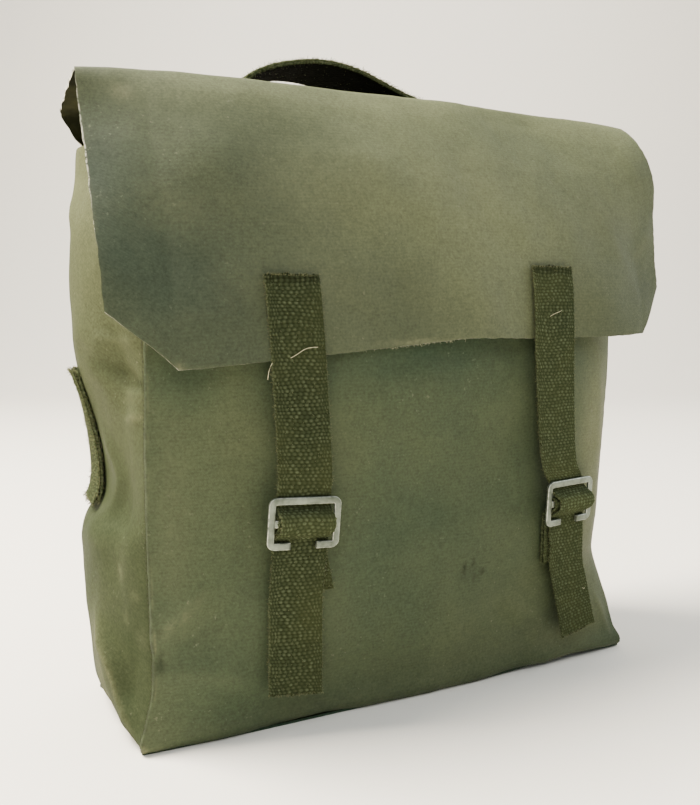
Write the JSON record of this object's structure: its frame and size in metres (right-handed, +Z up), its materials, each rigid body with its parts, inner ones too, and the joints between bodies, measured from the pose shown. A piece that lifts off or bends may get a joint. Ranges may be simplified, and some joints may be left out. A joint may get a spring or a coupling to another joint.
{
  "type": "military backpack",
  "caption": "Square olive canvas military pack standing upright, its wide flap closed by webbing straps through flat metal buckles, with a webbing carry handle and side loops.",
  "frame": {"origin": "middle of the whole pack's bounding box in X and Y, on the ground plane under the base", "axes": "+X to the right in a front view, the front with the buckles faces -Y, +Z up"},
  "size_m": [0.3958, 0.159, 0.4091],
  "materials": {
    "canvas": "coated canvas, satin, grey olive green",
    "canvas_pale": "coated canvas, satin, paler olive on the sides",
    "webbing": "coarse cotton webbing, matt, dark olive",
    "zinc": "galvanised, satin grey"
  },
  "bodies": {
    "root": {"front_panel": "canvas", "back_panel": "canvas", "base_panel": "canvas", "side_gusset_left": "canvas_pale", "side_gusset_right": "canvas_pale", "flap": "canvas", "closing_strap_left": "webbing", "chape_left": "webbing", "buckle_left": "zinc", "closing_strap_right": "webbing", "chape_right": "webbing", "buckle_right": "zinc", "carry_handle": "webbing", "side_loop_left": "webbing", "side_loop_right": "webbing"}
  },
  "joints": []
}
